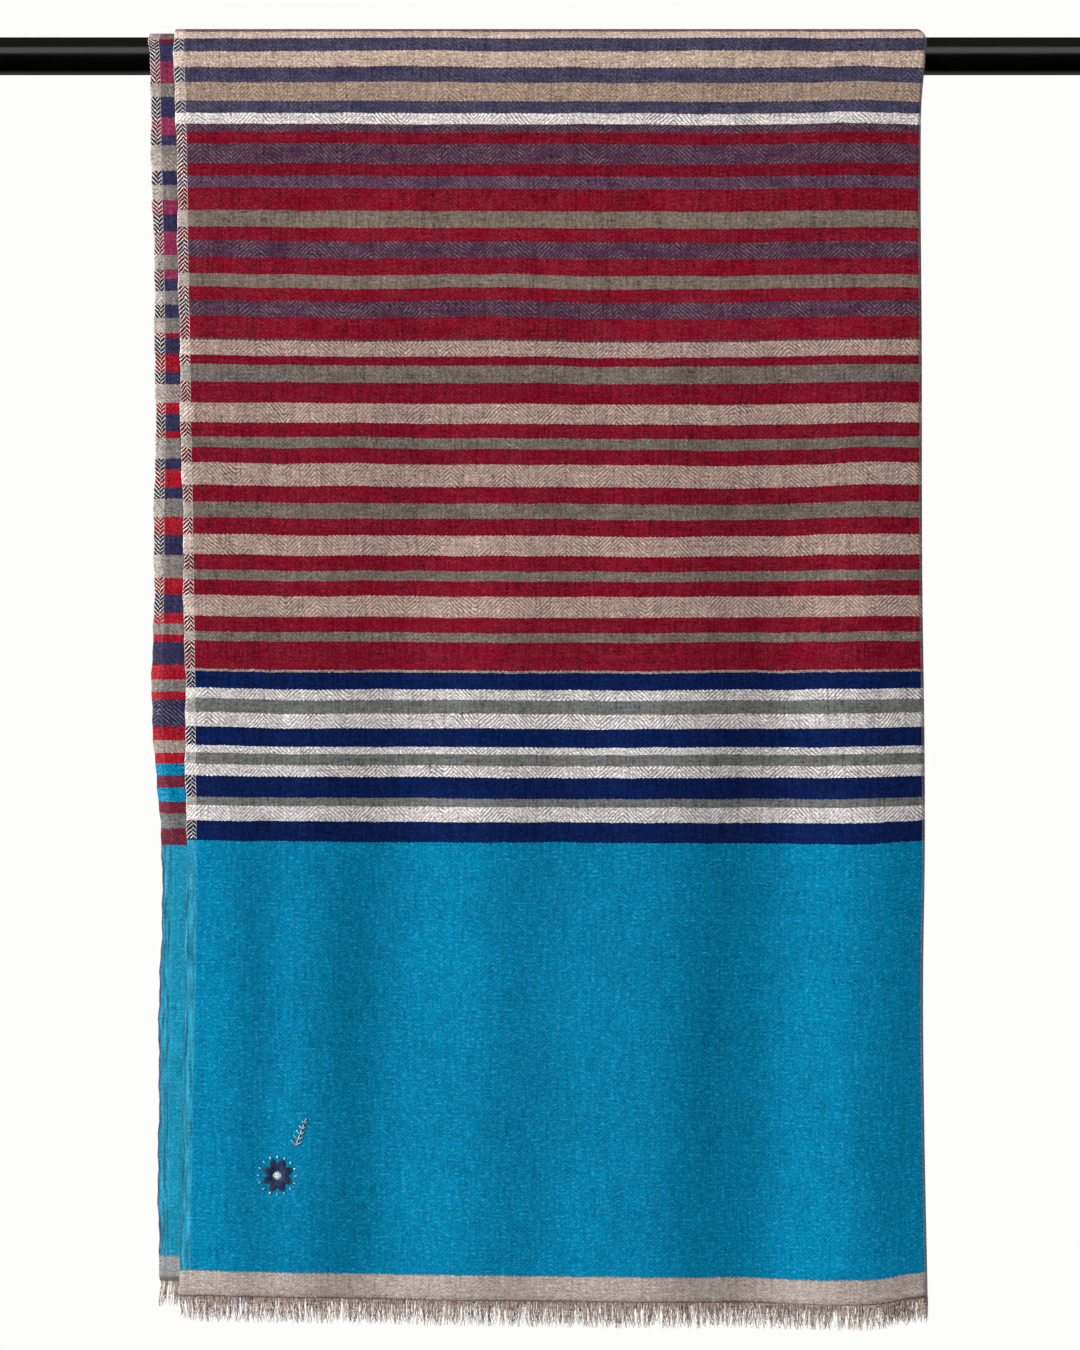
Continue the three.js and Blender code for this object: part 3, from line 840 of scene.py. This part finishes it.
    # Painted shadow along the outer edge of the cloth, in the teal.
    painted_crinkle_and_edge_shade = scaled(tree, calc(tree, "LESS_THAN", across, EDGE_SHADOW), -0.2, painted_crinkle_and_edge_shade)
    strip_tone = scaled(tree, paler, painted_crinkle_and_edge_shade, strip_tone)
    shade = times(tree, times(tree, shade, strip_tone), rib)
    tree.links.new(toned(tree, colour, shade), shader.inputs["Base Color"])
    height = scaled(tree, twill["Diagonal"], times(tree, patch, 0.5), yarn["Height"])
    bumped(tree, shader, 0.3, 0.0003, height)
    shader.inputs["Roughness"].default_value = 0.88
    shader.inputs["Specular IOR Level"].default_value = 0.04
    shader.inputs["Sheen Weight"].default_value = 0.01
    shader.inputs["Sheen Roughness"].default_value = 0.4
    return made


def thread_material(name, base, roughness, sheen, dark_root=0.0):
    """Loose or stitched yarn: one dye with uneven tone from thread to thread and along each. Over
    the length of dark_root, in metres, each thread is darker where it leaves the cloth."""
    made, tree, shader = new_material(name, base)
    across, along = weave_coordinates(tree)
    yarn = use_group(tree, yarn_group(), {"Across": across, "Along": along, "Amount": 1.2})
    each = times(tree, across, 4000)
    dye = put(tree, "ShaderNodeTexWhiteNoise", {"W": each}, noise_dimensions="1D").outputs[0]
    shade = times(tree, yarn["Tone"], scaled(tree, dye, 0.7, 0.62))
    if dark_root:
        clear = step_between(tree, along, 0.0008, dark_root)
        shade = times(tree, shade, scaled(tree, clear, 0.26, 0.79))
    tree.links.new(toned(tree, (*base, 1), shade), shader.inputs["Base Color"])
    bumped(tree, shader, 0.3, 0.0002, yarn["Height"])
    shader.inputs["Roughness"].default_value = roughness
    shader.inputs["Sheen Weight"].default_value = sheen
    return made


def rail_material(yarns):
    """Satin black paint: nearly black, with faint orange peel and a little dust in the roughness."""
    made, tree, shader = new_material("rail_satin_black", yarns.paint)
    spot = put(tree, "ShaderNodeTexCoord").outputs["Object"]
    peel = put(tree, "ShaderNodeTexNoise", {"Vector": spot, "Scale": 900.0, "Detail": 2.0}).outputs[0]
    dust = put(tree, "ShaderNodeTexNoise", {"Vector": spot, "Scale": 35.0, "Detail": 4.0}).outputs[0]
    tree.links.new(spread(tree, dust, 0.3, 0.7, 0.19, 0.25), shader.inputs["Roughness"])
    shade = spread(tree, dust, 0.3, 0.75, 0.9, 1.25)
    tree.links.new(toned(tree, (*yarns.paint, 1), shade), shader.inputs["Base Color"])
    bumped(tree, shader, 0.06, 0.0002, peel)
    shader.inputs["Specular IOR Level"].default_value = 1.0
    return made


# Pieces


# Points across the cloth's two layers and the turn between them, and along each drop and the stretch
# over the rail.
OUTER_POINTS, TURN_POINTS, INNER_POINTS = 57, 15, 59
DROP_POINTS, CREST_POINTS = 179, 25
# Points round the rail and round the floor.
RAIL_SIDES = 96
FLOOR_SIDES = 64
# The number of yarns in each fringe and the width of a clump of them, and the daisy's middle: its
# distance across the cloth and its depth below the rail's axis.
FRINGE_YARNS = 4200
CLUMP = 4.6
DAISY_PLACE = (74, 866)


class ShawlPiece:
    """What the operators share: their place in the menu and the scene's settings."""

    bl_options = {"REGISTER", "UNDO"}

    @staticmethod
    def settings(context):
        scene = context.scene
        return scene.shawl_sizes, scene.shawl_yarns, scene.shawl_stage


class SHAWL_OT_rail(ShawlPiece, bpy.types.Operator):
    """Turn the rail with smooth sides and bevelled ends, and paint it black"""

    bl_idname = "shawl.rail"
    bl_label = "Rail"

    def execute(self, context):
        sizes, yarns, _ = self.settings(context)
        low, high = (np.array(corner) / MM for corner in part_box("rail"))
        radius = (high[2] - low[2]) / 2
        bevel = sizes.rail_bevel / MM
        # The profile carried round the X axis: a point is its place along the rail, with the
        # profile's radius times the cosine and the sine of the angle.
        ease_in = np.linspace(0, math.pi / 2, 5)
        lip = np.stack([bevel * (1 - np.sin(ease_in)), radius - bevel * (1 - np.cos(ease_in))])[:, ::-1]
        start = np.concatenate([[[0], [0.6]], [[0], [radius - bevel - 0.4]], lip], axis=1)
        stretch = np.linspace(0, 1, 9)[1:-1]
        body = np.stack([bevel + (high[0] - low[0] - 2 * bevel) * stretch, np.full(len(stretch), radius)])
        end = start[:, ::-1] * [[-1], [1]] + [[high[0] - low[0]], [0]]
        x, reach = np.concatenate([start, body, end], axis=1)[:, :, None]
        angle = np.linspace(0, 2 * math.pi, RAIL_SIDES, endpoint=False)
        rings = np.broadcast_arrays(low[0] + x, reach * np.cos(angle), reach * np.sin(angle))
        rings = np.stack(rings, axis=-1)
        points = np.concatenate([rings.reshape(-1, 3), [[low[0], 0, 0], [high[0], 0, 0]]])
        faces = tube_faces(1, len(rings), RAIL_SIDES)
        rail = mesh_object("rail_painted", points, faces, materials=[rail_material(yarns)])
        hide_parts("rail")
        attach(rail, "root")
        return {"FINISHED"}


class SHAWL_OT_cloth(ShawlPiece, bpy.types.Operator):
    """Weave the striped cloth and hang it, folded, over the rail"""

    bl_idname = "shawl.cloth"
    bl_label = "Cloth"

    def execute(self, context):
        sizes, yarns, _ = self.settings(context)
        width = sizes.width / MM
        first, turn, back, last = spans(width)
        across = np.concatenate(
            [
                np.linspace(first, turn, OUTER_POINTS),
                np.linspace(turn, back, TURN_POINTS)[1:-1],
                np.linspace(back, last, INNER_POINTS),
            ]
        )
        along = np.concatenate(
            [
                np.linspace(-CREST_ARC - BACK_HEM, -CREST_ARC, DROP_POINTS),
                np.linspace(-CREST_ARC, CREST_ARC, CREST_POINTS)[1:-1],
                np.linspace(CREST_ARC, CREST_ARC + FRONT_HEM, DROP_POINTS),
            ]
        )
        rows, cols = len(along), len(across)
        s, t = np.meshgrid(across, along)
        centre = middle(s, t, width)
        half = sizes.thickness / MM / 2 * normals(s, t, width)
        points = np.concatenate([(centre + half).reshape(-1, 3), (centre - half).reshape(-1, 3)])
        uv = np.tile(np.stack([s, t], axis=-1).reshape(-1, 2) * MM, (2, 1))
        outside = grid_quads(rows, cols)
        inside = grid_quads(rows, cols, rows * cols)[:, ::-1]
        index = np.arange(rows * cols).reshape(rows, cols)
        rims = []
        for line in (index[:, 0], index[-1, :], index[::-1, -1], index[0, ::-1]):
            under = line + rows * cols
            rims.append(np.stack([line[1:], line[:-1], under[:-1], under[1:]], axis=1))
        rim = np.concatenate(rims)
        quads = np.concatenate([outside, inside, rim])
        kind = np.repeat([0, 1, 0], [len(outside), len(inside), len(rim)])
        cloth = mesh_object(
            "shawl_cloth",
            points,
            quads,
            uv,
            [
                cloth_material("cloth_face", FACE_DRAFT, sizes, yarns, 0.22, 1.0),
                cloth_material("cloth_reverse", REVERSE_DRAFT, sizes, yarns, 0.3, 0.47),
            ],
            kind,
        )
        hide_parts("scarf_front_drop", "scarf_over_rail", "scarf_back_drop")
        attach(cloth, "root")
        return {"FINISHED"}


class SHAWL_OT_fringe(ShawlPiece, bpy.types.Operator):
    """Hang the loose warp below the two hems"""

    bl_idname = "shawl.fringe"
    bl_label = "Fringe"

    def execute(self, context):
        sizes, yarns, _ = self.settings(context)
        width = sizes.width / MM
        material = thread_material("fringe_yarn", yarns.fringe, 0.9, 0.3, 0.007)
        for name, node, hem, side, seed in (
            ("fringe_front_yarns", "fringe_front", FRONT_HEM, 1, 11),
            ("fringe_back_yarns", "fringe_back", BACK_HEM, -1, 12),
        ):
            rng = np.random.default_rng(seed)
            count = FRINGE_YARNS
            root = np.sort(rng.uniform(0.5, width - 0.5, count))
            clump = np.floor(root / CLUMP) * CLUMP + CLUMP / 2
            clump = clump + 1.4 * np.sin(root * 0.31) + 1.2 * np.sin(root * 0.083)
            tip = root + (clump - root) * rng.uniform(0.15, 0.85, count) + rng.normal(0, 0.9, count)
            reach = sizes.fringe / MM * np.clip(rng.normal(0.86, 0.14, count), 0.4, 1.06)
            t = np.linspace(0, 1, 7)
            across = root[:, None] + (tip - root)[:, None] * t**1.6
            sway = rng.uniform(0.4, 1.4, (count, 1))
            across += sway * np.sin(2 * math.pi * (1.3 * t + rng.uniform(0, 1, (count, 1)))) * t
            down = hem - 0.4 + (reach[:, None] + 0.4) * t
            along = side * (CREST_ARC + down)
            stray = rng.normal(0, 0.35, (count, 1)) * (0.3 + t)
            path = middle(across, along, width) + normals(across, along, width) * stray[:, :, None]
            radius = sizes.yarn / MM / 2 * (1 - 0.55 * t) * rng.uniform(0.75, 1.2, (count, 1))
            measure = np.stack(np.broadcast_arrays(root[:, None], down - hem), axis=-1)
            fringe = mesh_object(name, *tubes(path, radius, 3, measure), [material])
            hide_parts(node)
            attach(fringe, "root")
        return {"FINISHED"}


class SHAWL_OT_embroidery(ShawlPiece, bpy.types.Operator):
    """Stitch a small daisy and a sprig by the outer selvedge, low on the front"""

    bl_idname = "shawl.embroidery"
    bl_label = "Embroidery"

    def execute(self, context):
        sizes, yarns, _ = self.settings(context)
        width = sizes.width / MM
        for name, colour, (start, end) in (
            ("daisy_petals", yarns.navy, self.petals()),
            ("daisy_centre", yarns.cream, self.heart()),
            ("sprig", yarns.chalk, self.sprig()),
        ):
            t = np.linspace(0, 1, 7)
            flat = start[:, None, :] + (end - start)[:, None, :] * t[None, :, None]
            across, along = DAISY_PLACE[0] + flat[..., 0], CREST_ARC + DAISY_PLACE[1] - flat[..., 1]
            lift = sizes.thickness / MM / 2 + 0.1 + 0.55 * np.sin(math.pi * t)
            path = middle(across, along, width) + normals(across, along, width) * lift[None, :, None]
            radius = np.broadcast_to(0.42 * (0.35 + 0.65 * np.sin(math.pi * t)), path.shape[:2])
            material = thread_material(name + "_thread", colour, 0.55, 0.2)
            measure = np.stack([across, along], axis=-1)
            stitched = mesh_object(name, *tubes(path, radius, 6, measure), [material])
            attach(stitched, "root")
        return {"FINISHED"}

    @staticmethod
    def petals():
        """Long satin stitches: each petal is a fan of stitches from near the centre to an arc, with
        the stitch's length following half a sine wave across the petal."""
        petal, stitch = np.meshgrid(np.arange(8), np.arange(7), indexing="ij")
        angle = 2 * math.pi * (petal + 0.5) / 8 + (stitch - 3) * 0.105
        long = 7.5 + 5.5 * np.sin(math.pi * (stitch + 1) / 8)
        way = np.stack([np.cos(angle), 1.08 * np.sin(angle)], axis=-1).reshape(-1, 2)
        return way * 3.6, way * long.reshape(-1, 1)

    @staticmethod
    def heart():
        """Short stitches side by side in a disc, each a chord of the circle, and a ring of short
        stitches that point outwards, round the petals."""
        x = np.linspace(-2.7, 2.7, 9)
        half = np.sqrt(3.0**2 - x**2)
        rings = np.arange(16) / 16 * 2 * math.pi
        spoke = np.stack([np.cos(rings), np.sin(rings)], axis=1)
        start = np.concatenate([np.stack([x, -half], axis=1), spoke * 13.4])
        end = np.concatenate([np.stack([x, half], axis=1), spoke * 15.6])
        return start, end

    @staticmethod
    def sprig():
        """A stem of straight stitches with a pair of leaves at each joint, growing shorter."""
        joints = np.arange(5)
        stem = np.stack([14 + 1.6 * joints, 24 + 4.2 * joints], axis=1).astype(float)
        after = stem + [1.6, 4.2]
        long = (5.2 - 0.7 * joints)[:, None]
        left = stem + long * [-0.75, 0.8]
        right = stem + long * [0.95, 0.45]
        return np.concatenate([stem, stem, stem]), np.concatenate([after, left, right])


class SHAWL_OT_declare(ShawlPiece, bpy.types.Operator):
    """Does nothing: it reads the sizes and finishes"""

    bl_idname = "shawl.declare"
    bl_label = "Cloth's cut"

    def execute(self, context):
        sizes, _, _ = self.settings(context)
        return {"FINISHED"}


class SHAWL_OT_stage(ShawlPiece, bpy.types.Operator):
    """Set up the camera, the lamps, the room and a pale floor well below the fringe"""

    bl_idname = "shawl.stage"
    bl_label = "Camera, light and floor"

    def execute(self, context):
        _, _, stage = self.settings(context)
        scene = context.scene
        scene.view_settings.view_transform = "Standard"
        self.camera(scene, stage)
        self.room(scene, stage)
        centre = Vector((0, 0, -0.45))
        self.lamp("key_lamp", (-7.55, -3.7, 1.4), centre, (2.6, 3.4), stage.key)
        self.lamp("front_lamp", (0.15, -2.1, 1.45), Vector((0, 0, 0)), (3.2, 1.7), stage.front)
        self.lamp("rear_lamp", (3.9, 6.2, 1.6), centre, (3.0, 3.0), stage.rear)
        self.floor(stage)
        return {"FINISHED"}

    @staticmethod
    def camera(scene, stage):
        camera = bpy.data.objects.new("camera", bpy.data.cameras.new("camera"))
        camera.data.sensor_width = 36
        camera.data.lens = 36 * stage.distance / stage.view_height
        front_face = -(OUTER_LAYER * MM)
        camera.location = (0, front_face - stage.distance, -stage.centre_drop)
        camera.rotation_euler = (math.pi / 2, 0, 0)
        scene.collection.objects.link(camera)
        scene.camera = camera

    @staticmethod
    def room(scene, stage):
        """White behind the object and a dim even light on it. The paint mirrors a dark room with a
        dull ceiling and, behind the rail and below it, a faint glow."""
        world = bpy.data.worlds.new("room")
        scene.world = world
        world.use_nodes = True
        tree = world.node_tree
        ray = put(tree, "ShaderNodeLightPath").outputs
        dim = stage.ambient
        way = put(tree, "ShaderNodeTexCoord").outputs["Generated"]
        _, behind, up = put(tree, "ShaderNodeSeparateXYZ", {0: way}).outputs
        walls, top = (0.003, 0.003, 0.003, 1), (0.09, 0.088, 0.08, 1)
        ceiling = blend(tree, step_between(tree, up, 0.6, 0.95), walls, top)
        glow = times(tree, step_between(tree, behind, 0.2, 0.5), step_between(tree, up, -0.35, -0.6))
        mirrored = blend(tree, glow, ceiling, (0.18, 0.18, 0.17, 1))
        unseen = blend(tree, ray["Is Glossy Ray"], (dim, dim, dim, 1), mirrored)
        colour = blend(tree, ray["Is Camera Ray"], unseen, (0.982, 0.982, 0.965, 1))
        tree.links.new(colour, tree.nodes["Background"].inputs["Color"])

    @staticmethod
    def lamp(name, place, target, size, power):
        data = bpy.data.lights.new(name, "AREA")
        data.shape = "RECTANGLE"
        data.size, data.size_y = size
        data.energy = power
        lamp = bpy.data.objects.new(name, data)
        lamp.location = place
        lamp.rotation_euler = (target - Vector(place)).to_track_quat("-Z", "Y").to_euler()
        lamp.visible_camera = False
        bpy.context.scene.collection.objects.link(lamp)

    @staticmethod
    def floor(stage):
        """A flat disc: rings of points at growing radius, by the cosine and sine of the angle."""
        turn = np.linspace(0, 2 * math.pi, FLOOR_SIDES, endpoint=False)
        radius, angle = np.meshgrid([1, 700, 1400, 2100], turn, indexing="ij")
        level = np.full(radius.shape, -stage.floor_drop / MM)
        points = np.stack([radius * np.cos(angle), radius * np.sin(angle), level], axis=-1)
        ring = np.arange(len(radius) - 1)[:, None] * FLOOR_SIDES
        here, after = ring + np.arange(FLOOR_SIDES), ring + (np.arange(FLOOR_SIDES) + 1) % FLOOR_SIDES
        quads = np.stack([here, here + FLOOR_SIDES, after + FLOOR_SIDES, after], axis=-1).reshape(-1, 4)
        made, tree, shader = new_material("pale_floor", (0.8, 0.8, 0.79))
        spot = put(tree, "ShaderNodeTexCoord").outputs["Object"]
        noise = put(tree, "ShaderNodeTexNoise", {"Vector": spot, "Scale": 6.0, "Detail": 4.0})
        colour = blend(tree, noise.outputs[0], (0.8, 0.8, 0.79, 1), (0.84, 0.84, 0.83, 1))
        tree.links.new(colour, shader.inputs["Base Color"])
        shader.inputs["Roughness"].default_value = 0.9
        floor = mesh_object("floor", points.reshape(-1, 3), quads, materials=[made])
        floor.visible_glossy = False


class SHAWL_PT_panel(bpy.types.Panel):
    """Sizes, yarns and pieces of the shawl"""

    bl_label = "Shawl on a Rail"
    bl_idname = "SHAWL_PT_panel"
    bl_space_type = "VIEW_3D"
    bl_region_type = "UI"
    bl_category = "Shawl"

    def draw(self, context):
        layout = self.layout
        for title, group in (
            ("Sizes", context.scene.shawl_sizes),
            ("Yarns and paint", context.scene.shawl_yarns),
            ("Camera and lamps", context.scene.shawl_stage),
        ):
            box = layout.box()
            box.label(text=title)
            for name in group.bl_rna.properties.keys():
                if name not in ("rna_type", "name"):
                    box.prop(group, name)
        for operator in OPERATORS:
            layout.operator(operator.bl_idname)


GROUPS = (ShawlSizes, ShawlYarns, ShawlStage)
OPERATORS = (
    SHAWL_OT_stage,
    SHAWL_OT_rail,
    SHAWL_OT_cloth,
    SHAWL_OT_fringe,
    SHAWL_OT_embroidery,
    SHAWL_OT_declare,
)


def register():
    for item in (*GROUPS, *OPERATORS, SHAWL_PT_panel):
        bpy.utils.register_class(item)
    bpy.types.Scene.shawl_sizes = bpy.props.PointerProperty(type=ShawlSizes)
    bpy.types.Scene.shawl_yarns = bpy.props.PointerProperty(type=ShawlYarns)
    bpy.types.Scene.shawl_stage = bpy.props.PointerProperty(type=ShawlStage)


def unregister():
    del bpy.types.Scene.shawl_stage
    del bpy.types.Scene.shawl_yarns
    del bpy.types.Scene.shawl_sizes
    for item in reversed((*GROUPS, *OPERATORS, SHAWL_PT_panel)):
        bpy.utils.unregister_class(item)


def main():
    register()
    bpy.ops.shawl.stage()
    bpy.ops.shawl.rail()
    bpy.ops.shawl.cloth()
    bpy.ops.shawl.fringe()
    bpy.ops.shawl.embroidery()
    bpy.ops.shawl.declare()


if __name__ == "__main__":
    main()
